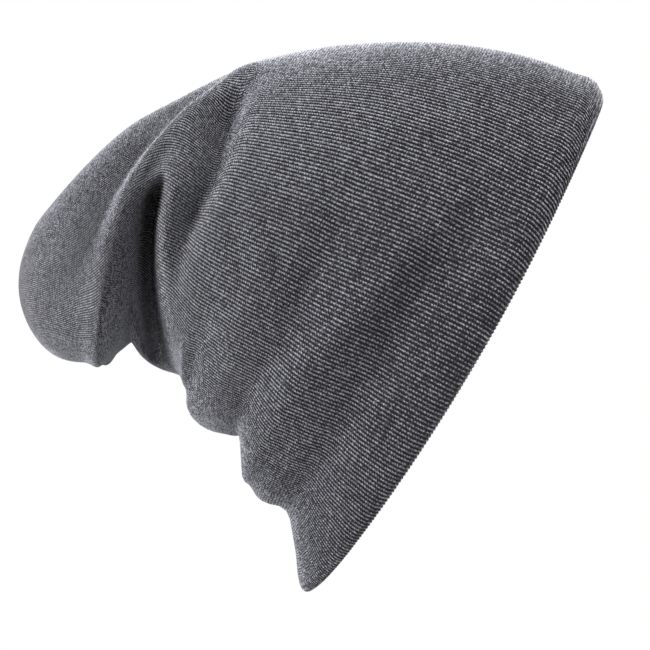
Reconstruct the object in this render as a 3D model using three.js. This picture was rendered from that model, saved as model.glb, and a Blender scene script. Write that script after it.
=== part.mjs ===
// A slouch beanie of fine ribbed knit, lying as it does on a head that faces +X.
// It is one long knitted tube: doubled to a soft wall, turned over at the brim and closed at the crown,
// whose loose end falls back and hangs behind the head.
// Millimetres, +Z up, +X to the front of the hat. The origin is the middle of the head opening.

import * as THREE from 'three';

// The cloth
const WALL = 3.4;                // two layers of rib knit lying together
const BRIM_TURN = 3.6;           // how far the turned fold of the brim stands past its last full ring
const BRIM_STEPS = 5;            // faces round the turned fold
const CLOTH_COLOUR = 0x5b5c62;
const CLOTH_ROUGHNESS = 0.95;

// The net of faces
const COLUMNS_A_SIDE = 28;       // faces from the top line to the nape line, on each side
const RING_STRETCHES = [         // from, to and number of rings along the cloth
  { from: 3.6, to: 124, rings: 16 },
  { from: 124, to: 214, rings: 26 },
  { from: 214, to: 279, rings: 8 },
];

// Each ring of the tube, from the brim to the closed end. The tube lies tipped back, so a ring runs from
// its point on the top line, over its point on the side, to its point on the nape line.
// along: millimetres of cloth from the brim, measured on the top line
// halfWidth: half the ring's breadth in Y, and centreY how far its middle has swung to the far side
// lead: how far the near side runs ahead of the far side toward the closed end
// pinch: share of the half width that is folded in below the keyhole of the crease
const SECTION_COLUMNS = [
  'along', 'topX', 'topZ', 'sideX', 'sideZ', 'napeX', 'napeZ', 'halfWidth', 'lead', 'centreY', 'pinch',
];
const SECTIONS = [
  [0.0, 57.8, 91.2, 7.6, -4.2, -57.8, -91.6, 76.0, 0.0, 0.0, 0.00],
  [5.3, 55.1, 99.6, 3.0, -1.5, -58.9, -86.6, 79.0, 0.0, 0.0, 0.00],
  [17.1, 44.5, 105.3, -9.1, 4.6, -60.0, -76.0, 80.2, 0.0, 0.0, 0.00],
  [32.3, 29.6, 110.6, -23.9, 11.8, -63.8, -64.6, 81.3, 0.0, 0.0, 0.00],
  [45.6, 16.3, 113.6, -36.9, 17.9, -73.7, -55.9, 82.1, 0.0, 0.0, 0.00],
  [60.8, 1.1, 115.9, -50.9, 24.3, -77.5, -46.0, 82.1, 0.0, 0.0, 0.00],
  [76.0, -14.1, 116.7, -63.8, 30.8, -79.0, -36.5, 81.3, 0.0, 0.0, 0.00],
  [93.1, -31.2, 116.3, -76.4, 36.5, -85.5, -30.8, 79.8, 0.0, 0.0, 0.00],
  [108.3, -46.4, 115.1, -86.3, 41.0, -96.9, -26.6, 77.9, 0.0, 0.0, 0.00],
  [123.5, -61.6, 112.5, -93.9, 44.8, -98.4, -17.5, 76.0, 0.0, 0.0, 0.00],
  [136.8, -74.5, 109.4, -100.3, 47.9, -102.2, -10.6, 74.5, 0.0, 0.0, 0.00],
  [148.2, -85.1, 104.9, -106.8, 51.7, -111.3, -7.2, 72.2, 0.0, 0.0, 0.00],
  [153.9, -90.1, 102.6, -109.8, 54.0, -115.5, -4.9, 70.7, 0.0, 0.0, 0.12],
  [158.8, -94.6, 100.3, -112.1, 55.1, -118.9, -1.9, 69.2, 0.0, 0.0, 0.60],
  [164.2, -99.6, 97.7, -114.0, 54.7, -122.0, 2.7, 67.6, 0.0, 0.0, 0.56],
  [170.2, -104.5, 95.0, -116.7, 52.8, -122.7, 3.0, 66.1, 0.0, 0.0, 0.20],
  [178.6, -111.7, 91.2, -120.8, 49.0, -124.3, 1.9, 64.6, 0.0, 0.0, 0.07],
  [190.0, -121.6, 85.5, -126.9, 41.8, -127.3, -0.4, 63.1, 1.9, 0.0, 0.02],
  [203.3, -131.9, 77.1, -135.3, 33.4, -131.9, -2.7, 61.6, 3.0, 0.8, 0.00],
  [218.5, -142.9, 66.1, -147.4, 25.8, -137.6, -4.2, 57.8, 6.8, 2.3, 0.00],
  [231.8, -152.0, 55.9, -158.1, 22.0, -143.3, -4.2, 50.2, 12.2, 6.1, 0.00],
  [245.1, -158.8, 47.5, -163.4, 22.0, -149.0, -2.7, 39.5, 16.7, 12.2, 0.00],
  [256.5, -161.1, 40.7, -164.2, 23.2, -152.4, 0.8, 29.6, 18.2, 17.5, 0.00],
  [266.0, -159.6, 34.6, -161.9, 23.6, -152.8, 6.8, 19.8, 15.2, 22.0, 0.00],
  [275.5, -155.8, 28.9, -156.9, 23.2, -152.0, 14.8, 10.3, 9.1, 25.1, 0.00],
  [283.1, -151.2, 23.2, -151.2, 22.8, -151.2, 22.4, 0.0, 0.0, 26.2, 0.00],
];
const EVEN_COLUMNS = ['halfWidth', 'lead', 'pinch'];   // columns that must not overshoot between rows

// The bend of a ring out of its chord, as on the brim line, which is fuller toward the nape
const BOW_POWER = 2.0;
const BOW_POWER_LOSS = 0.6;
const BOW_TO_NAPE = 0.35;

// The crease's keyhole: the pinch starts and is full at these angles from the top line
const KEYHOLE_START = THREE.MathUtils.degToRad(76);
const KEYHOLE_FULL = THREE.MathUtils.degToRad(90);
// Further down, the crease leans toward the brim by this much cloth, from one angle to the other
const CREASE_LEAN = 15.0;
const LEAN_START = THREE.MathUtils.degToRad(84);
const LEAN_FULL = THREE.MathUtils.degToRad(145);
const FAR_PINCH = 0.72;          // the crease is shallower on the far side
const FAR_FOLDS = 0.75;          // and so are its folds
// The hanging end lies flatter than an oval; it grows so between these places along the cloth
const FLATTENING = 0.30;
const FLAT_START = 148;
const FLAT_FULL = 185;

// The folds. A path gives, for a place round the side (0 top line, 1 nape line), the fold's place along.
// depth is inward; brimReach and crownReach are its half widths; it comes in and goes out between two places.
const HALF_GIRTH = 266;          // turns a place round the side into millimetres
const FOLDS = [
  {
    name: 'first valley', depth: 3.4, brimReach: 7.6, crownReach: 5.7, comes: [0.26, 0.50],
    path: [[0.30, 22.0], [0.42, 27.5], [0.52, 31.5], [0.70, 31.5], [0.82, 33.0], [1.0, 36.1]],
  },
  {
    name: 'first roll', depth: -2.7, brimReach: 5.3, crownReach: 6.5, comes: [0.32, 0.56],
    path: [[0.30, 37.0], [0.40, 39.5], [0.49, 42.0], [0.61, 49.5], [0.79, 55.0], [1.0, 63.1]],
  },
  {
    name: 'second valley', depth: 3.0, brimReach: 6.1, crownReach: 5.7, comes: [0.30, 0.52],
    path: [[0.30, 67.0], [0.41, 65.5], [0.57, 64.0], [0.68, 68.5], [0.85, 75.0], [1.0, 80.6]],
  },
  {
    name: 'second roll', depth: -1.5, brimReach: 6.1, crownReach: 7.6, comes: [0.40, 0.60],
    path: [[0.30, 92.0], [0.45, 88.0], [0.58, 85.0], [0.75, 89.5], [1.0, 99.6]],
  },
  {
    name: 'third valley', depth: 3.0, brimReach: 3.0, crownReach: 6.1, comes: [0.56, 0.72],
    path: [[0.50, 101.8], [0.64, 102.6], [0.75, 104.1], [0.87, 115.9], [1.0, 133.0]],
  },
  {
    name: 'side valley', depth: 12.0, brimReach: 6.0, crownReach: 12.0, comes: [0.12, 0.27], goes: [0.48, 0.66],
    path: [[0.16, 139.1], [0.28, 136.8], [0.33, 133.8], [0.42, 130.6], [0.52, 132.6], [0.64, 135.0]],
  },
  {
    name: 'crown ridge', depth: -5.5, brimReach: 10.0, crownReach: 9.0, comes: [0.04, 0.20], goes: [0.75, 1.0],
    path: [
      [0.06, 136.0], [0.14, 143.3], [0.22, 150.9], [0.30, 160.0], [0.36, 171.0],
      [0.42, 183.0], [0.50, 192.0], [0.60, 198.0], [0.85, 206.0],
    ],
  },
  {
    name: 'crown hollow', depth: 4.5, brimReach: 9.0, crownReach: 16.0, comes: [0.04, 0.20], goes: [0.45, 0.70],
    path: [
      [0.06, 150.5], [0.14, 157.7], [0.22, 165.3], [0.30, 175.0], [0.36, 187.0],
      [0.42, 199.0], [0.50, 208.0], [0.60, 214.0], [0.85, 222.0],
    ],
  },
];

function ease(from, to, x) {
  const t = Math.min(1, Math.max(0, (x - from) / (to - from)));
  return t * t * (3 - 2 * t);
}

// A smooth curve through a table; an even one never passes beyond the rows on either side of it
function curve(xs, ys, even) {
  const last = xs.length - 1;
  const gap = xs.slice(1).map((x, i) => x - xs[i]);
  const rise = gap.map((g, i) => (ys[i + 1] - ys[i]) / g);
  const slope = ys.map(() => 0);
  slope[0] = rise[0];
  slope[last] = rise[last - 1];
  for (let i = 1; i < last; i += 1) {
    if (!even) {
      slope[i] = (rise[i - 1] * gap[i] + rise[i] * gap[i - 1]) / (gap[i] + gap[i - 1]);
    } else if (rise[i - 1] * rise[i] > 0) {
      const before = 2 * gap[i] + gap[i - 1];
      const after = gap[i] + 2 * gap[i - 1];
      slope[i] = (before + after) / (before / rise[i - 1] + after / rise[i]);
    }
  }
  return (x) => {
    let i = 0;
    while (i < last - 1 && x >= xs[i + 1]) i += 1;
    const t = (x - xs[i]) / gap[i];
    const u = 1 - t;
    return (1 + 2 * t) * u * u * ys[i] + t * u * u * gap[i] * slope[i]
      + t * t * (3 - 2 * t) * ys[i + 1] - t * t * u * gap[i] * slope[i + 1];
  };
}

const ALONG = SECTIONS.map((row) => row[0]);
const LAST_PLACE = ALONG[ALONG.length - 1];
const SECTION_CURVES = SECTION_COLUMNS.slice(1).map((name, i) => ({
  name,
  at: curve(ALONG, SECTIONS.map((row) => row[i + 1]), EVEN_COLUMNS.includes(name)),
}));
const FOLD_CURVES = FOLDS.map((fold) => curve(fold.path.map((p) => p[0]), fold.path.map((p) => p[1]), true));

function sectionAt(along) {
  const section = {};
  for (const { name, at } of SECTION_CURVES) section[name] = at(along);
  return section;
}

// The angle at which a share of the way round the plain ring is reached
function angleRound(share, halfHeight, halfWidth, fullness) {
  const steps = 720;
  const reached = [0];
  let height = 1;
  let breadth = 0;
  for (let i = 1; i <= steps; i += 1) {
    const angle = (i / steps) * Math.PI;
    const nextHeight = Math.cos(angle);
    const nextBreadth = Math.pow(Math.max(0, Math.sin(angle)), fullness);
    const step = Math.hypot(halfHeight * (nextHeight - height), halfWidth * (nextBreadth - breadth));
    reached.push(reached[i - 1] + step);
    height = nextHeight;
    breadth = nextBreadth;
  }
  const wanted = share * reached[steps];
  let i = 1;
  while (i < steps && reached[i] < wanted) i += 1;
  return ((i - 1 + (wanted - reached[i - 1]) / (reached[i] - reached[i - 1])) / steps) * Math.PI;
}

// One point of the outer face; side is -1 on the near side and 1 on the far side
function outerPoint(along, share, side) {
  const s = sectionAt(along);
  const chordX = s.napeX - s.topX;
  const chordZ = s.napeZ - s.topZ;
  const height = Math.max(Math.hypot(chordX, chordZ), 1e-6);
  const downX = chordX / height;
  const downZ = chordZ / height;
  const fullness = 1 - FLATTENING * ease(FLAT_START, FLAT_FULL, along);
  const angle = angleRound(share, height / 2, Math.max(s.halfWidth, 0.35 * height / 2), fullness);
  const c = Math.cos(angle);
  const q = Math.max(0, Math.sin(angle));
  const lead = side < 0 ? 0 : s.lead;
  const sideX = s.sideX - downZ * lead;
  const sideZ = s.sideZ + downX * lead;
  const power = BOW_POWER - BOW_POWER_LOSS * (1 - c) / 2;
  const bow = Math.pow(q, power) * (1 - BOW_TO_NAPE * c);
  const creasePlace = Math.min(LAST_PLACE, along + CREASE_LEAN * ease(LEAN_START, LEAN_FULL, angle));
  const pinch = sectionAt(creasePlace).pinch * ease(KEYHOLE_START, KEYHOLE_FULL, angle)
    * (side < 0 ? 1 : FAR_PINCH);
  const middleX = (s.topX + s.napeX) / 2;
  const middleZ = (s.topZ + s.napeZ) / 2;
  const point = new THREE.Vector3(
    middleX - chordX * c / 2 + (sideX - middleX) * bow,
    s.centreY + side * s.halfWidth * Math.pow(q, fullness) * (1 - pinch),
    middleZ - chordZ * c / 2 + (sideZ - middleZ) * bow,
  );
  const acrossHeight = c / (height / 2);
  const outward = new THREE.Vector3(
    -acrossHeight * downX,
    side * q / (s.halfWidth + 1e-6),
    -acrossHeight * downZ,
  ).normalize();
  const fullSize = Math.min(1, height / 45);
  FOLDS.forEach((fold, i) => {
    const first = fold.path[0][0];
    const end = fold.path[fold.path.length - 1][0];
    const pathAt = (place) => FOLD_CURVES[i](Math.min(end, Math.max(first, place)));
    const slant = (pathAt(share + 0.004) - pathAt(share - 0.004)) / (0.008 * HALF_GIRTH);
    const away = (along - pathAt(share)) / Math.hypot(1, slant);
    const reach = away < 0 ? fold.brimReach : fold.crownReach;
    let strength = Math.exp(-((away / reach) ** 2)) * ease(fold.comes[0], fold.comes[1], share);
    if (fold.goes) strength *= 1 - ease(fold.goes[0], fold.goes[1], share);
    if (side > 0) strength *= 1 - (1 - FAR_FOLDS) * q;
    point.addScaledVector(outward, -fold.depth * strength * fullSize);
  });
  return point;
}

// The rings of the outer face, each running from the top line down the near side and back up the far side
const AROUND = 2 * COLUMNS_A_SIDE;
const ringPlaces = [];
for (const { from, to, rings } of RING_STRETCHES) {
  for (let i = 0; i < rings; i += 1) ringPlaces.push(from + (to - from) * i / rings);
}
ringPlaces.push(RING_STRETCHES[RING_STRETCHES.length - 1].to);

function ringAt(along) {
  const ring = [];
  for (let j = 0; j < AROUND; j += 1) {
    const near = j <= COLUMNS_A_SIDE;
    const share = near ? j / COLUMNS_A_SIDE : 2 - j / COLUMNS_A_SIDE;
    ring.push(outerPoint(along, share, near ? -1 : 1));
  }
  return ring;
}

const outerRings = ringPlaces.map(ringAt);
const edgeRing = ringAt(0);
const closedEnd = outerPoint(LAST_PLACE, 0.5, -1);

// Outward directions of the rings, from their neighbours
function outwardAt(i, j) {
  const ring = outerRings[i];
  const before = i > 0 ? outerRings[i - 1][j] : edgeRing[j];
  const after = i < outerRings.length - 1 ? outerRings[i + 1][j] : closedEnd;
  const round = ring[(j + 1) % AROUND].clone().sub(ring[(j + AROUND - 1) % AROUND]);
  return after.clone().sub(before).cross(round).normalize();
}

const rawOutward = outerRings.map((ring, i) => ring.map((point, j) => outwardAt(i, j)));

// The wall's direction is evened out a little, so that the inner face does not fold over itself
const wallOutward = rawOutward.map((row, i) => row.map((direction, j) => {
  const sum = direction.clone().multiplyScalar(2);
  sum.add(row[(j + 1) % AROUND]).add(row[(j + AROUND - 1) % AROUND]);
  if (i > 0) sum.add(rawOutward[i - 1][j]);
  if (i < rawOutward.length - 1) sum.add(rawOutward[i + 1][j]);
  return sum.normalize();
}));
const endOutward = rawOutward[rawOutward.length - 1]
  .reduce((sum, direction) => sum.add(direction), new THREE.Vector3()).normalize();

const positions = [];
const faces = [];

function addPoint(point) {
  positions.push(point.x, point.y, point.z);
  return positions.length / 3 - 1;
}

function gapBetween(a, b) {
  return Math.hypot(
    positions[3 * a] - positions[3 * b],
    positions[3 * a + 1] - positions[3 * b + 1],
    positions[3 * a + 2] - positions[3 * b + 2],
  );
}

// A band of faces between two rings, each four-sided one cut along its shorter diagonal
function addBand(ringA, ringB) {
  for (let j = 0; j < AROUND; j += 1) {
    const k = (j + 1) % AROUND;
    if (gapBetween(ringA[j], ringB[k]) <= gapBetween(ringA[k], ringB[j])) {
      faces.push(ringA[j], ringA[k], ringB[k], ringA[j], ringB[k], ringB[j]);
    } else {
      faces.push(ringA[j], ringA[k], ringB[j], ringA[k], ringB[k], ringB[j]);
    }
  }
}

// Outer face from the closed end to the brim, round the turned fold, and the inner face back to the end
const chain = [];
for (let i = outerRings.length - 1; i >= 0; i -= 1) chain.push(outerRings[i].map(addPoint));

for (let step = 1; step < BRIM_STEPS; step += 1) {
  const turn = Math.PI * step / BRIM_STEPS;
  chain.push(outerRings[0].map((point, j) => {
    const outward = wallOutward[0][j];
    const forward = edgeRing[j].clone().sub(point).normalize();
    const middle = point.clone().addScaledVector(outward, -WALL / 2);
    middle.addScaledVector(outward, Math.cos(turn) * WALL / 2);
    middle.addScaledVector(forward, Math.sin(turn) * BRIM_TURN);
    return addPoint(middle);
  }));
}

for (let i = 0; i < outerRings.length; i += 1) {
  chain.push(outerRings[i].map((point, j) => addPoint(point.clone().addScaledVector(wallOutward[i][j], -WALL))));
}
for (let i = 1; i < chain.length; i += 1) addBand(chain[i - 1], chain[i]);

const outerTip = addPoint(closedEnd);
const innerTip = addPoint(closedEnd.clone().addScaledVector(endOutward, -WALL));
const firstRing = chain[0];
const lastRing = chain[chain.length - 1];
for (let j = 0; j < AROUND; j += 1) {
  const k = (j + 1) % AROUND;
  faces.push(outerTip, firstRing[k], firstRing[j]);
  faces.push(innerTip, lastRing[j], lastRing[k]);
}

const geometry = new THREE.BufferGeometry();
geometry.setAttribute('position', new THREE.Float32BufferAttribute(positions, 3));
geometry.setIndex(faces);
geometry.computeVertexNormals();

const knit = new THREE.Mesh(
  geometry,
  new THREE.MeshStandardMaterial({ color: CLOTH_COLOUR, roughness: CLOTH_ROUGHNESS, metalness: 0 }),
);
knit.name = 'knit_body';

const beanie = new THREE.Group();
beanie.name = 'slouch_beanie';
beanie.add(knit);

export default beanie;
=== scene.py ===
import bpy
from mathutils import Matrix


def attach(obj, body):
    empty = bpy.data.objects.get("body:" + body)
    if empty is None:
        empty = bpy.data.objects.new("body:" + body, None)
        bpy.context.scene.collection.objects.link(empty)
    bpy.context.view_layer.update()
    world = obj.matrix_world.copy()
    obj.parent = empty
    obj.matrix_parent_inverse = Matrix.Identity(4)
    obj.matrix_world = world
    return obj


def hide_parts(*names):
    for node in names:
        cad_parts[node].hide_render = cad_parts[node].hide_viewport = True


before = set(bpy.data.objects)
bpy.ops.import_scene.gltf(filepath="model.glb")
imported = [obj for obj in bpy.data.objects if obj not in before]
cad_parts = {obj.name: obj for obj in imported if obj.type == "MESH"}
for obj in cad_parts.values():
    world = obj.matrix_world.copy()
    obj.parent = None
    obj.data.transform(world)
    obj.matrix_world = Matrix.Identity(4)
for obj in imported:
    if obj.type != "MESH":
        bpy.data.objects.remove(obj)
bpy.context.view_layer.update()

import math

import bpy
import numpy as np

# The form of the hat
# One long tube of fine rib knit, doubled to a soft wall, turned over at the brim and closed at the crown.
# It is shaped here ring by ring from the brim to the closed end, in millimetres, as it lies on a head.
WALL = 3.4
BRIM_TURN = 3.6
SECTION_COLUMNS = (
    "along", "top_x", "top_z", "side_x", "side_z", "nape_x", "nape_z",
    "half_width", "lead", "centre_y", "pinch",
)
SECTIONS = np.array([
    (0.0, 57.8, 91.2, 7.6, -4.2, -57.8, -91.6, 76.0, 0.0, 0.0, 0.00),
    (5.3, 55.1, 99.6, 3.0, -1.5, -58.9, -86.6, 79.0, 0.0, 0.0, 0.00),
    (17.1, 44.5, 105.3, -9.1, 4.6, -60.0, -76.0, 80.2, 0.0, 0.0, 0.00),
    (32.3, 29.6, 110.6, -23.9, 11.8, -63.8, -64.6, 81.3, 0.0, 0.0, 0.00),
    (45.6, 16.3, 113.6, -36.9, 17.9, -73.7, -55.9, 82.1, 0.0, 0.0, 0.00),
    (60.8, 1.1, 115.9, -50.9, 24.3, -77.5, -46.0, 82.1, 0.0, 0.0, 0.00),
    (76.0, -14.1, 116.7, -63.8, 30.8, -79.0, -36.5, 81.3, 0.0, 0.0, 0.00),
    (93.1, -31.2, 116.3, -76.4, 36.5, -85.5, -30.8, 79.8, 0.0, 0.0, 0.00),
    (108.3, -46.4, 115.1, -86.3, 41.0, -96.9, -26.6, 77.9, 0.0, 0.0, 0.00),
    (123.5, -61.6, 112.5, -93.9, 44.8, -98.4, -17.5, 76.0, 0.0, 0.0, 0.00),
    (136.8, -74.5, 109.4, -100.3, 47.9, -102.2, -10.6, 74.5, 0.0, 0.0, 0.00),
    (148.2, -85.1, 104.9, -106.8, 51.7, -111.3, -7.2, 72.2, 0.0, 0.0, 0.00),
    (153.9, -90.1, 102.6, -109.8, 54.0, -115.5, -4.9, 70.7, 0.0, 0.0, 0.12),
    (158.8, -94.6, 100.3, -112.1, 55.1, -118.9, -1.9, 69.2, 0.0, 0.0, 0.60),
    (164.2, -99.6, 97.7, -114.0, 54.7, -122.0, 2.7, 67.6, 0.0, 0.0, 0.56),
    (170.2, -104.5, 95.0, -116.7, 52.8, -122.7, 3.0, 66.1, 0.0, 0.0, 0.20),
    (178.6, -111.7, 91.2, -120.8, 49.0, -124.3, 1.9, 64.6, 0.0, 0.0, 0.07),
    (190.0, -121.6, 85.5, -126.9, 41.8, -127.3, -0.4, 63.1, 1.9, 0.0, 0.02),
    (203.3, -131.9, 77.1, -135.3, 33.4, -131.9, -2.7, 61.6, 3.0, 0.8, 0.00),
    (218.5, -142.9, 66.1, -147.4, 25.8, -137.6, -4.2, 57.8, 6.8, 2.3, 0.00),
    (231.8, -152.0, 55.9, -158.1, 22.0, -143.3, -4.2, 50.2, 12.2, 6.1, 0.00),
    (245.1, -158.8, 47.5, -163.4, 22.0, -149.0, -2.7, 39.5, 16.7, 12.2, 0.00),
    (256.5, -161.1, 40.7, -164.2, 23.2, -152.4, 0.8, 29.6, 18.2, 17.5, 0.00),
    (266.0, -159.6, 34.6, -161.9, 23.6, -152.8, 6.8, 19.8, 15.2, 22.0, 0.00),
    (275.5, -155.8, 28.9, -156.9, 23.2, -152.0, 14.8, 10.3, 9.1, 25.1, 0.00),
    (283.1, -151.2, 23.2, -151.2, 22.8, -151.2, 22.4, 0.0, 0.0, 26.2, 0.00),
])
EVEN_COLUMNS = ("half_width", "lead", "pinch")
BOW_POWER = 2.0
BOW_POWER_LOSS = 0.6
BOW_TO_NAPE = 0.35
KEYHOLE_START = math.radians(76)
KEYHOLE_FULL = math.radians(90)
CREASE_LEAN = 15.0
LEAN_START = math.radians(84)
LEAN_FULL = math.radians(145)
FAR_PINCH = 0.72
FAR_FOLDS = 0.75
FLATTENING = 0.30
FLAT_START = 148
FLAT_FULL = 185
HALF_GIRTH = 266          # nominal; turns a place round the side into millimetres
LEAST_BREADTH = 0.35      # least half width of a ring, of its half height, when shares round it are found
FULL_FOLD_HEIGHT = 45     # rings less high than this have shallower folds
PATH_STEP = 0.004
# name, depth, reach to the brim, reach to the crown, comes in, goes out, path of (place round, place along)
FOLDS = (
    ("first valley", 3.4, 7.6, 5.7, (0.26, 0.50), None,
     ((0.30, 22.0), (0.42, 27.5), (0.52, 31.5), (0.70, 31.5), (0.82, 33.0), (1.0, 36.1))),
    ("first roll", -2.7, 5.3, 6.5, (0.32, 0.56), None,
     ((0.30, 37.0), (0.40, 39.5), (0.49, 42.0), (0.61, 49.5), (0.79, 55.0), (1.0, 63.1))),
    ("second valley", 3.0, 6.1, 5.7, (0.30, 0.52), None,
     ((0.30, 67.0), (0.41, 65.5), (0.57, 64.0), (0.68, 68.5), (0.85, 75.0), (1.0, 80.6))),
    ("second roll", -1.5, 6.1, 7.6, (0.40, 0.60), None,
     ((0.30, 92.0), (0.45, 88.0), (0.58, 85.0), (0.75, 89.5), (1.0, 99.6))),
    ("third valley", 3.0, 3.0, 6.1, (0.56, 0.72), None,
     ((0.50, 101.8), (0.64, 102.6), (0.75, 104.1), (0.87, 115.9), (1.0, 133.0))),
    ("side valley", 12.0, 6.0, 12.0, (0.12, 0.27), (0.48, 0.66),
     ((0.16, 139.1), (0.28, 136.8), (0.33, 133.8), (0.42, 130.6), (0.52, 132.6), (0.64, 135.0))),
    ("crown ridge", -5.5, 10.0, 9.0, (0.04, 0.20), (0.75, 1.0),
     ((0.06, 136.0), (0.14, 143.3), (0.22, 150.9), (0.30, 160.0), (0.36, 171.0),
      (0.42, 183.0), (0.50, 192.0), (0.60, 198.0), (0.85, 206.0))),
    ("crown hollow", 4.5, 9.0, 16.0, (0.04, 0.20), (0.45, 0.70),
     ((0.06, 150.5), (0.14, 157.7), (0.22, 165.3), (0.30, 175.0), (0.36, 187.0),
      (0.42, 199.0), (0.50, 208.0), (0.60, 214.0), (0.85, 222.0))),
)


def ease(start, end, x):
    t = np.clip((x - start) / (end - start), 0, 1)
    return t * t * (3 - 2 * t)


def curve(xs, ys, x, even):
    xs = np.asarray(xs, float)
    ys = np.asarray(ys, float)
    gap = np.diff(xs)
    rise = np.diff(ys) / gap
    slope = np.zeros(len(xs))
    slope[0] = rise[0]
    slope[-1] = rise[-1]
    for i in range(1, len(xs) - 1):
        if not even:
            slope[i] = (rise[i - 1] * gap[i] + rise[i] * gap[i - 1]) / (gap[i] + gap[i - 1])
        elif rise[i - 1] * rise[i] > 0:
            before = 2 * gap[i] + gap[i - 1]
            after = gap[i] + 2 * gap[i - 1]
            slope[i] = (before + after) / (before / rise[i - 1] + after / rise[i])
    i = np.clip(np.searchsorted(xs, x, side="right") - 1, 0, len(gap) - 1)
    t = (x - xs[i]) / gap[i]
    u = 1 - t
    return ((1 + 2 * t) * u * u * ys[i] + t * u * u * gap[i] * slope[i]
            + t * t * (3 - 2 * t) * ys[i + 1] - t * t * u * gap[i] * slope[i + 1])


def outer_face(places, shares, side):
    """Points of the outer face, a row a ring: places along the cloth and shares round it.

    The side is -1 for the near one and 1 for the far one.
    """
    along = SECTIONS[:, 0]
    s = {}
    for k, name in enumerate(SECTION_COLUMNS[1:], 1):
        s[name] = curve(along, SECTIONS[:, k], places, name in EVEN_COLUMNS)[:, None]
    chord_x = s["nape_x"] - s["top_x"]
    chord_z = s["nape_z"] - s["top_z"]
    height = np.maximum(np.hypot(chord_x, chord_z), 1e-6)
    down_x = chord_x / height
    down_z = chord_z / height
    fullness = 1 - FLATTENING * ease(FLAT_START, FLAT_FULL, places)[:, None]
    turn = np.linspace(0, math.pi, 721)
    round_turn = np.clip(np.sin(turn), 0, 1)
    angle = np.zeros((len(places), len(shares)))
    for i in range(len(places)):
        tall = height[i, 0] / 2
        wide = max(s["half_width"][i, 0], LEAST_BREADTH * tall)
        pace = np.hypot(tall * np.diff(np.cos(turn)), wide * np.diff(round_turn ** fullness[i]))
        reached = np.concatenate([[0], np.cumsum(pace)])
        angle[i] = np.interp(shares * reached[-1], reached, turn)
    c = np.cos(angle)
    q = np.clip(np.sin(angle), 0, 1)
    lead = s["lead"] * (0 if side < 0 else 1)
    side_x = s["side_x"] - down_z * lead
    side_z = s["side_z"] + down_x * lead
    bow = q ** (BOW_POWER - BOW_POWER_LOSS * (1 - c) / 2) * (1 - BOW_TO_NAPE * c)
    crease_place = places[:, None] + CREASE_LEAN * ease(LEAN_START, LEAN_FULL, angle)
    pinch = curve(along, SECTIONS[:, -1], np.minimum(crease_place, along[-1]), True)
    pinch = pinch * ease(KEYHOLE_START, KEYHOLE_FULL, angle) * (1 if side < 0 else FAR_PINCH)
    middle_x = (s["top_x"] + s["nape_x"]) / 2
    middle_z = (s["top_z"] + s["nape_z"]) / 2
    points = np.stack([
        middle_x - chord_x * c / 2 + (side_x - middle_x) * bow,
        s["centre_y"] + side * s["half_width"] * q ** fullness * (1 - pinch),
        middle_z - chord_z * c / 2 + (side_z - middle_z) * bow,
    ], -1)
    across = c / (height / 2)
    outward = np.stack([-across * down_x, side * q / (s["half_width"] + 1e-6), -across * down_z], -1)
    outward /= np.maximum(np.linalg.norm(outward, axis=-1, keepdims=True), 1e-9)
    full_size = np.minimum(1, height / FULL_FOLD_HEIGHT)
    for name, depth, brim_reach, crown_reach, comes, goes, path in FOLDS:
        rounds = [p[0] for p in path]
        alongs = [p[1] for p in path]

        def path_at(share):
            return curve(rounds, alongs, np.clip(share, rounds[0], rounds[-1]), True)

        slant = (path_at(shares + PATH_STEP) - path_at(shares - PATH_STEP)) / (2 * PATH_STEP * HALF_GIRTH)
        away = (places[:, None] - path_at(shares)[None, :]) / np.hypot(1, slant)[None, :]
        reach = np.where(away < 0, brim_reach, crown_reach)
        strength = np.exp(-(away / reach) ** 2) * ease(*comes, shares)[None, :]
        if goes:
            strength = strength * (1 - ease(*goes, shares))[None, :]
        if side > 0:
            strength = strength * (1 - (1 - FAR_FOLDS) * q)
        points = points - outward * (depth * strength * full_size)[..., None]
    return points


def whole_rings(places, a_side):
    """Full rings, from the top line down the near side and back up the far side."""
    shares = np.linspace(0, 1, a_side + 1)
    near = outer_face(places, shares, -1)
    far = outer_face(places, shares, 1)
    return np.concatenate([near, far[:, -2:0:-1]], axis=1)


# The knit
# Fine ribbed melange knit, two layers lying together. Its ribs run from the brim to the closed end, 180 on
# each side, and stand up from the cloth. The two sides are joined along the top line and the nape line, in a
# groove between ribs.
RIBS_A_SIDE = 180
FAR_WALES = 400           # ribs are numbered on from here on the far side
FACES_A_RIB = 4
RING_STRETCHES = ((3.6, 132, 38), (132, 214, 40), (214, 279, 18))
RIB_SHARE = 0.34          # height of a rib as a share of its width
RIB_HEIGHT_MAX = 0.60
RIB_SPREAD_WIDTH = 1.65   # width of a rib where the knit is stretched over the head
SPREAD_LIMITS = (0.4, 1.1)
SPREAD_LOSS = 0.75        # share of the spread that is lost on the way from the brim to this place along the cloth and a band along the top of the hanging end gets more spread, which paints it darker as shade
SPREAD_LOSS_END = 150     # to this place along the cloth
TOP_BAND_PAINTED_SHADE = 0.9     # and the pull along the top of the hanging end spreads it there
TOP_BAND_ROUND = (0.42, 0.12)
TOP_BAND_COMES = (140, 168)
TOP_BAND_GOES = (225, 262)
INNER_SPREAD = 0.8
TIP_SPREAD = 0.5
BRIM_STEPS = 8
BRIM_CLOTH = 5            # cloth that goes round the turned brim
BRIM_RIBS_FADE = (0.55, 0.95)
INNER_STEP = 4            # the inner face has a fourth of the outer one's faces round
EVENING = 6


def smoothed(rows, times):
    for _ in range(times):
        total = 2 * rows + np.roll(rows, 1, axis=1) + np.roll(rows, -1, axis=1)
        total[1:] += rows[:-1]
        total[:-1] += rows[1:]
        rows = total / np.maximum(np.linalg.norm(total, axis=-1, keepdims=True), 1e-9)
    return rows


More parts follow.
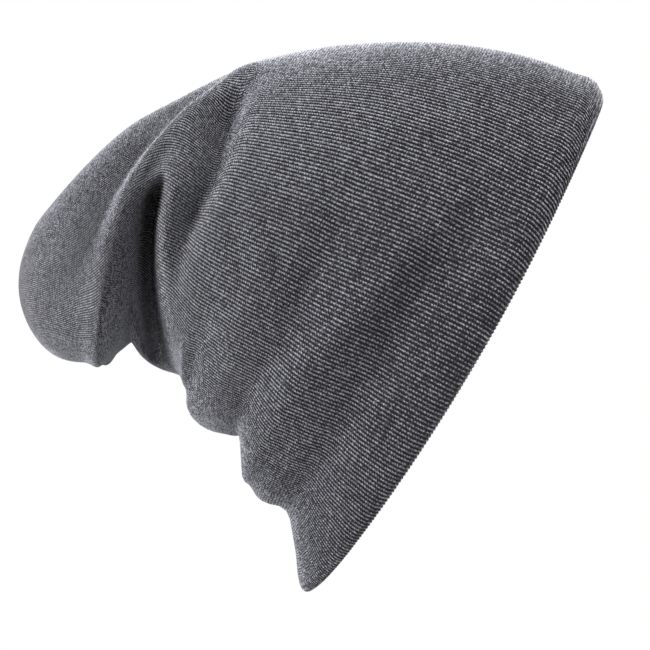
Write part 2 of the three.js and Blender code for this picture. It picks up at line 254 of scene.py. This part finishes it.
def knit_side(name, side):
    places = np.concatenate(
        [np.linspace(start, end, count, endpoint=False) for start, end, count in RING_STRETCHES]
        + [[RING_STRETCHES[-1][1]]])
    columns = RIBS_A_SIDE * FACES_A_RIB
    rings = whole_rings(places, columns)
    edge = whole_rings(np.array([0.0]), columns)[0]
    tip = outer_face(np.array([SECTIONS[-1, 0]]), np.array([0.5]), -1)[0, 0]
    before = np.concatenate([edge[None], rings[:-1]])
    after = np.concatenate([rings[1:], np.broadcast_to(tip, (1,) + rings[0].shape)])
    around = np.roll(rings, -1, axis=1) - np.roll(rings, 1, axis=1)
    outward = np.cross(after - before, around)
    outward /= np.maximum(np.linalg.norm(outward, axis=-1, keepdims=True), 1e-9)
    wall_outward = smoothed(outward[:, ::INNER_STEP], EVENING)
    rib_width = np.linalg.norm(np.roll(rings, -2, axis=1) - np.roll(rings, 2, axis=1), axis=-1)
    rib_height = np.minimum(RIB_SHARE * rib_width, RIB_HEIGHT_MAX)
    share = np.abs((np.arange(2 * columns) / columns + 1) % 2 - 1)
    # a band along the top of the hanging end, painted darker as shade through its spread
    band_along = ease(*TOP_BAND_COMES, places) * (1 - ease(*TOP_BAND_GOES, places))
    top_band_shade = ease(*TOP_BAND_ROUND, share)[None, :] * band_along[:, None]
    # the spread falls away from the brim, so the painted shade it brings is deepest near the brim
    kept = 1 - SPREAD_LOSS * ease(0, SPREAD_LOSS_END, places)
    rib_spread = np.clip(rib_width / RIB_SPREAD_WIDTH, *SPREAD_LIMITS) * kept[:, None]
    rib_spread = rib_spread + TOP_BAND_PAINTED_SHADE * top_band_shade

    index = np.arange(columns + 1)
    if side > 0:
        index = (-index) % (2 * columns)
    coarse = np.arange(0, columns + 1, INNER_STEP)
    coarse_index = index[coarse] // INNER_STEP
    # rows from the closed end over the outer face, round the brim and back over the inner face
    points, out, height, along, spread = [], [], [], [], []
    for i in range(len(places) - 1, -1, -1):
        points.append(rings[i][index])
        out.append(outward[i][index])
        height.append(rib_height[i][index])
        spread.append(rib_spread[i][index])
        along.append(places[i])
    full = np.repeat(wall_outward[0], INNER_STEP, axis=0)
    for k in range(1, INNER_STEP):
        part = k / INNER_STEP
        full[k::INNER_STEP] = (1 - part) * wall_outward[0] + part * np.roll(wall_outward[0], -1, axis=0)
    forward = edge - rings[0]
    forward /= np.linalg.norm(forward, axis=-1, keepdims=True)
    for step in range(1, BRIM_STEPS):
        turn = math.pi * step / BRIM_STEPS
        direction = math.cos(turn) * full * WALL / 2 + math.sin(turn) * forward * BRIM_TURN
        points.append((rings[0] - full * WALL / 2 + direction)[index])
        unit = math.cos(turn) * full + math.sin(turn) * forward
        out.append(unit[index])
        height.append(rib_height[0][index] * (1 - ease(*BRIM_RIBS_FADE, step / BRIM_STEPS)))
        spread.append(rib_spread[0][index])
        along.append(places[0] - BRIM_CLOTH * turn / math.pi)
    rows_fine = len(points)
    inner_points = []
    for i in range(len(places)):
        inner_points.append((rings[i][::INNER_STEP] - wall_outward[i] * WALL)[coarse_index])
    wide = columns + 1
    narrow = len(coarse)
    fine_count = rows_fine * wide
    verts = np.concatenate([np.concatenate(points), np.concatenate(inner_points)])
    outs = np.concatenate([np.concatenate(out), np.zeros((len(places) * narrow, 3))])
    heights = np.concatenate([np.concatenate(height), np.zeros(len(places) * narrow)])
    spreads = np.concatenate([np.concatenate(spread), np.full(len(places) * narrow, INNER_SPREAD)])
    wale = np.concatenate([
        np.tile(np.arange(wide) / FACES_A_RIB, rows_fine),
        np.tile(coarse / FACES_A_RIB, len(places)),
    ])
    course = np.concatenate([
        np.repeat(np.array(along), wide),
        np.repeat(places, narrow),
    ])
    faces = []
    for r in range(rows_fine - 1):
        a = r * wide + np.arange(columns)
        b = a + wide
        faces.append(np.stack([a, a + 1, b + 1, b], -1))
    quads = np.concatenate(faces)
    inner_faces = []
    for r in range(len(places) - 1):
        a = fine_count + r * narrow + np.arange(narrow - 1)
        b = a + narrow
        inner_faces.append(np.stack([a, a + 1, b + 1, b], -1))
    quads = np.concatenate([quads] + inner_faces)
    # the last brim row meets the coarser inner row
    tris = []
    last = (rows_fine - 1) * wide
    for j in range(narrow - 1):
        k = last + j * INNER_STEP
        n0 = fine_count + j
        half = INNER_STEP // 2
        for m in range(INNER_STEP):
            tris.append((k + m, k + m + 1, n0 if m < half else n0 + 1))
        tris.append((k + half, n0 + 1, n0))
    # the closed end, and the cut faces along the top line and the nape line
    outer_tip = len(verts)
    inner_tip = outer_tip + 1
    end_out = outward[-1].mean(axis=0)
    end_out /= np.linalg.norm(end_out)
    verts = np.concatenate([verts, [tip, tip - end_out * WALL]])
    outs = np.concatenate([outs, [end_out, (0, 0, 0)]])
    heights = np.concatenate([heights, [0, 0]])
    spreads = np.concatenate([spreads, [TIP_SPREAD] * 2])
    wale = np.concatenate([wale, [RIBS_A_SIDE / 2] * 2]) + (FAR_WALES if side > 0 else 0)
    course = np.concatenate([course, [SECTIONS[-1, 0]] * 2])
    last_inner = fine_count + (len(places) - 1) * narrow
    for j in range(columns):
        tris.append((outer_tip, j + 1, j))
    for j in range(narrow - 1):
        tris.append((inner_tip, last_inner + j, last_inner + j + 1))
    for fine_column, coarse_column, first in ((0, 0, True), (columns, narrow - 1, False)):
        outer_line = [outer_tip] + [r * wide + fine_column for r in range(rows_fine)]
        inner_line = [inner_tip] + [
            fine_count + r * narrow + coarse_column for r in range(len(places) - 1, -1, -1)]
        strip = [(outer_line[i], outer_line[i + 1], inner_line[i + 1], inner_line[i])
                 for i in range(len(inner_line) - 1)]
        for i in range(len(inner_line) - 1, len(outer_line) - 1):
            strip.append((outer_line[i], outer_line[i + 1], inner_line[-1]))
        for corners in strip:
            corners = corners if first else corners[::-1]
            tris.append(corners)
    all_faces = [tuple(int(v) for v in f) for f in quads] + [tuple(int(v) for v in f) for f in tris]
    if side > 0:
        all_faces = [f[::-1] for f in all_faces]
    mesh = bpy.data.meshes.new(name)
    mesh.from_pydata((verts / 1000).tolist(), [], all_faces)
    mesh.attributes.new("outward", "FLOAT_VECTOR", "POINT").data.foreach_set("vector", outs.ravel())
    mesh.attributes.new("rib_height", "FLOAT", "POINT").data.foreach_set("value", heights / 1000)
    mesh.attributes.new("spread", "FLOAT", "POINT").data.foreach_set("value", spreads)
    mesh.attributes.new("wale", "FLOAT", "POINT").data.foreach_set("value", wale)
    mesh.attributes.new("course", "FLOAT", "POINT").data.foreach_set("value", course)
    mesh.validate()
    mesh.update()
    piece = bpy.data.objects.new(name, mesh)
    bpy.context.scene.collection.objects.link(piece)
    return piece


class Nodes:
    """Makes the nodes of one tree."""

    def __init__(self, tree):
        self.tree = tree

    def make(self, kind, settings=None, *values, out=0, **named):
        """One node: its settings first, then the values or links of its sockets, by place or by name."""
        made = self.tree.nodes.new(kind)
        for key, value in (settings or {}).items():
            setattr(made, key, value)
        for place, value in list(enumerate(values)) + list(named.items()):
            socket = made.inputs[place.replace("_", " ") if isinstance(place, str) else place]
            if isinstance(value, Socket):
                self.tree.links.new(value.link, socket)
            else:
                socket.default_value = value
        return Socket(self, made.outputs[out])


class Socket:
    """A node's output that takes part in expressions on plain values."""

    def __init__(self, nodes, link):
        self.nodes = nodes
        self.link = link

    def maths(self, operation, *others):
        return self.nodes.make("ShaderNodeMath", {"operation": operation}, self, *others)

    def __add__(self, other):
        return self.maths("ADD", other)

    __radd__ = __add__

    def __sub__(self, other):
        return self.maths("SUBTRACT", other)

    def __rsub__(self, other):
        return self.nodes.make("ShaderNodeMath", {"operation": "SUBTRACT"}, other, self)

    def __mul__(self, other):
        return self.maths("MULTIPLY", other)

    __rmul__ = __mul__


def rib_tree():
    """The ribs: each point of the cloth moves outward as a rounded rib's section says."""
    tree = bpy.data.node_groups.new("knit ribs", "GeometryNodeTree")
    tree.interface.new_socket("Geometry", in_out="INPUT", socket_type="NodeSocketGeometry")
    tree.interface.new_socket("Rib scale", in_out="INPUT", socket_type="NodeSocketFloat")
    tree.interface.new_socket("Unevenness", in_out="INPUT", socket_type="NodeSocketFloat")
    tree.interface.new_socket("Knit", in_out="INPUT", socket_type="NodeSocketMaterial")
    tree.interface.new_socket("Geometry", in_out="OUTPUT", socket_type="NodeSocketGeometry")
    given = tree.nodes.new("NodeGroupInput")
    result = tree.nodes.new("NodeGroupOutput")
    nodes = Nodes(tree)
    cloth = Socket(nodes, given.outputs["Geometry"])
    scale = Socket(nodes, given.outputs["Rib scale"])
    uneven = Socket(nodes, given.outputs["Unevenness"])
    knit_given = Socket(nodes, given.outputs["Knit"])

    def attribute(kind, name):
        return nodes.make("GeometryNodeInputNamedAttribute", {"data_type": kind}, Name=name, out="Attribute")

    wale = attribute("FLOAT", "wale")
    course = attribute("FLOAT", "course")
    height = attribute("FLOAT", "rib_height")
    outward = attribute("FLOAT_VECTOR", "outward")
    wave = (wale * (2 * math.pi)).maths("COSINE")
    place = nodes.make("ShaderNodeCombineXYZ", None, wale * 0.9, course * 0.12, 0.0)
    noise = nodes.make("ShaderNodeTexNoise", None, Vector=place, Scale=1.0, Detail=1.0)
    lift = (0 - wave + (noise - 0.5) * uneven) * height * scale * 0.5
    offset = nodes.make("ShaderNodeVectorMath", {"operation": "SCALE"}, outward, Scale=lift)
    moved = nodes.make("GeometryNodeSetPosition", None, Geometry=cloth, Offset=offset)
    real = nodes.make("GeometryNodeRealizeInstances", None, Geometry=moved)
    dressed = nodes.make("GeometryNodeSetMaterial", None, Geometry=real, Material=knit_given)
    tree.links.new(dressed.link, result.inputs["Geometry"])
    return tree


COURSE_HEIGHT = 1.1       # a course of stitches along the cloth
RIB_PAINTED_LIGHT = 0.52          # how much each of these lightens or darkens the yarn; the rib, stitch and spread terms are painted light and shade
STITCH_PAINTED_LIGHT = 0.50
STREAK_LIGHT = 1.2
SPECK_LIGHT = 3.0
CLOUD_LIGHT = 0.35
YARN_DARK = 0.10
SPREAD_PAINTED_SHADE = 0.10


def melange_knit():
    """Charcoal melange yarn: light and dark fibres twisted together, in small slanted stitches, with painted
    light on the rib crests and stitch legs and painted shade in the grooves between ribs.
    """
    material = bpy.data.materials.new("melange_knit")
    material.use_nodes = True
    tree = material.node_tree
    tree.nodes.clear()
    nodes = Nodes(tree)
    wale = nodes.make("ShaderNodeAttribute", {"attribute_name": "wale"}, out="Fac")
    course = nodes.make("ShaderNodeAttribute", {"attribute_name": "course"}, out="Fac")
    spread = nodes.make("ShaderNodeAttribute", {"attribute_name": "spread"}, out="Fac")
    row = course * (1 / COURSE_HEIGHT)
    in_rib = wale.maths("FRACT")
    # painted light on the rib crests and painted shade in the grooves between them
    crest = 0.5 - 0.5 * (wale * (2 * math.pi)).maths("COSINE")
    # where the knit is spread, its ribs are narrow and the grooves between them are wide, so more of it is
    # painted dark as shade in the grooves
    rib = crest.maths("POWER", 0.7 + 1.1 * spread)
    # a painted highlight along each stitch leg, darker where the legs meet
    legs = (row + in_rib * 1.0).maths("FRACT")
    stitch = (legs * math.pi).maths("SINE")
    # streaks of the melange run along the courses; specks are single light and dark fibres
    streak_place = nodes.make("ShaderNodeCombineXYZ", None, wale * 0.42, row * 0.62, 0.0)
    streaks = nodes.make(
        "ShaderNodeTexNoise", None, Vector=streak_place, Scale=1.0, Detail=2.0, Roughness=0.6)
    speck_place = nodes.make("ShaderNodeCombineXYZ", None, wale * 1.7, row * 1.6, 3.0)
    specks = nodes.make("ShaderNodeTexNoise", None, Vector=speck_place, Scale=1.0, Detail=2.0, Roughness=0.7)
    cloud_place = nodes.make("ShaderNodeCombineXYZ", None, wale * 0.11, row * 0.10, 7.0)
    clouds = nodes.make("ShaderNodeTexNoise", None, Vector=cloud_place, Scale=1.0, Detail=2.0, Roughness=0.5)
    # the knit's colour: melange streaks, specks and clouds of its own, with painted light and shade from the
    # ribs and stitches and painted shade where it is spread
    mix = (rib * RIB_PAINTED_LIGHT + rib * stitch * STITCH_PAINTED_LIGHT + (streaks - 0.5) * STREAK_LIGHT
           + (specks - 0.5) * SPECK_LIGHT + (clouds - 0.5) * CLOUD_LIGHT - YARN_DARK - SPREAD_PAINTED_SHADE * spread)
    ramp = tree.nodes.new("ShaderNodeValToRGB")
    ramp.color_ramp.elements[0].position = 0.0
    ramp.color_ramp.elements[0].color = (0.008, 0.007, 0.012, 1)
    ramp.color_ramp.elements[1].position = 1.0
    ramp.color_ramp.elements[1].color = (0.43, 0.44, 0.49, 1)
    middle = ramp.color_ramp.elements.new(0.45)
    middle.color = (0.098, 0.097, 0.117, 1)
    tree.links.new(mix.link, ramp.inputs["Fac"])
    height = rib * 0.6 + stitch * 0.4 + (specks - 0.5) * 0.8
    bump = nodes.make("ShaderNodeBump", None, Strength=0.7, Distance=0.0005, Height=height)
    surface = nodes.make(
        "ShaderNodeBsdfPrincipled", None,
        Base_Color=Socket(nodes, ramp.outputs["Color"]), Roughness=0.92, Normal=bump,
        Specular_IOR_Level=0.25, Sheen_Weight=0.25, Sheen_Roughness=0.55,
    )
    end = tree.nodes.new("ShaderNodeOutputMaterial")
    tree.links.new(surface.link, end.inputs["Surface"])
    return material


knit = melange_knit()
ribs = rib_tree()
for side_name, side in (("knit_near_side", -1), ("knit_far_side", 1)):
    piece = knit_side(side_name, side)
    dress = piece.modifiers.new("ribs", "NODES")
    dress.node_group = ribs
    for item in ribs.interface.items_tree:
        if item.name == "Rib scale":
            dress[item.identifier] = 1.0
        if item.name == "Unevenness":
            dress[item.identifier] = 0.5
        if item.name == "Knit":
            dress[item.identifier] = knit
    bpy.context.view_layer.update()
    finished = bpy.data.meshes.new_from_object(piece.evaluated_get(bpy.context.evaluated_depsgraph_get()))
    piece.modifiers.remove(dress)
    piece.data = finished
    finished.name = side_name
    finished.materials.clear()
    finished.materials.append(knit)
    finished.polygons.foreach_set("use_smooth", [True] * len(finished.polygons))
    finished.set_sharp_from_angle(angle=math.radians(75))
    finished.update()
    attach(piece, "root")
    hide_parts("knit_body")

# The studio
# A plain pale floor well below the hat, which is held up as a head holds it, and soft light from above.
FLOOR_DROP = 0.30
FLOOR_HALF = 3
SKY_ABOVE = 0.30
floor_mesh = bpy.data.meshes.new("floor")
floor_mesh.from_pydata(
    [(x * FLOOR_HALF, y * FLOOR_HALF, -FLOOR_DROP) for x, y in ((-1, -1), (1, -1), (1, 1), (-1, 1))],
    [], [(0, 1, 2, 3)],
)
floor = bpy.data.objects.new("floor", floor_mesh)
bpy.context.scene.collection.objects.link(floor)
pale = bpy.data.materials.new("pale_floor")
pale.use_nodes = True
pale.node_tree.nodes["Principled BSDF"].inputs["Base Color"].default_value = (0.20, 0.20, 0.20, 1)
pale.node_tree.nodes["Principled BSDF"].inputs["Roughness"].default_value = 0.9
floor_mesh.materials.append(pale)

world = bpy.data.worlds.new("studio")
world.use_nodes = True
sky = world.node_tree
sky_nodes = Nodes(sky)
outlook = sky_nodes.make("ShaderNodeTexCoord", out="Generated")
direction = sky_nodes.make("ShaderNodeSeparateXYZ", None, outlook, out="Z")
above = sky_nodes.make(
    "ShaderNodeMapRange", {"interpolation_type": "SMOOTHSTEP"},
    Value=direction.maths("ABSOLUTE"), From_Min=0.08, From_Max=0.35, To_Min=1.0, To_Max=SKY_ABOVE,
)
sky.links.new(above.link, sky.nodes["Background"].inputs["Strength"])
sky.nodes["Background"].inputs["Color"].default_value = (1, 1, 1, 1)
bpy.context.scene.world = world
bpy.context.scene.view_settings.view_transform = "Standard"


def soft_sun(name, azimuth, elevation, spread, power):
    """Soft light from far off: azimuth from the camera's side towards +X, elevation above the floor."""
    light = bpy.data.lights.new(name, "SUN")
    light.angle = math.radians(spread)
    light.energy = power
    lamp = bpy.data.objects.new(name, light)
    bpy.context.scene.collection.objects.link(lamp)
    lamp.rotation_euler = (math.radians(90 - elevation), 0, math.radians(azimuth))
    return lamp


soft_sun("key_above_and_behind", 135, 54, 60, 8.5)
soft_sun("fill_from_the_left", -66, 10, 40, 3.4)

CENTRE = (-0.049, 0.0, 0.0095)
camera_data = bpy.data.cameras.new("camera")
LENS = 300
SENSOR = 36
camera_data.lens = LENS
camera_data.sensor_width = SENSOR
camera = bpy.data.objects.new("camera", camera_data)
bpy.context.scene.collection.objects.link(camera)
FRAME_WIDTH = 0.247
camera.location = (CENTRE[0], -FRAME_WIDTH * LENS / SENSOR, CENTRE[2])
camera.rotation_euler = (math.pi / 2, 0, 0)
camera_data.clip_end = 50
bpy.context.scene.camera = camera
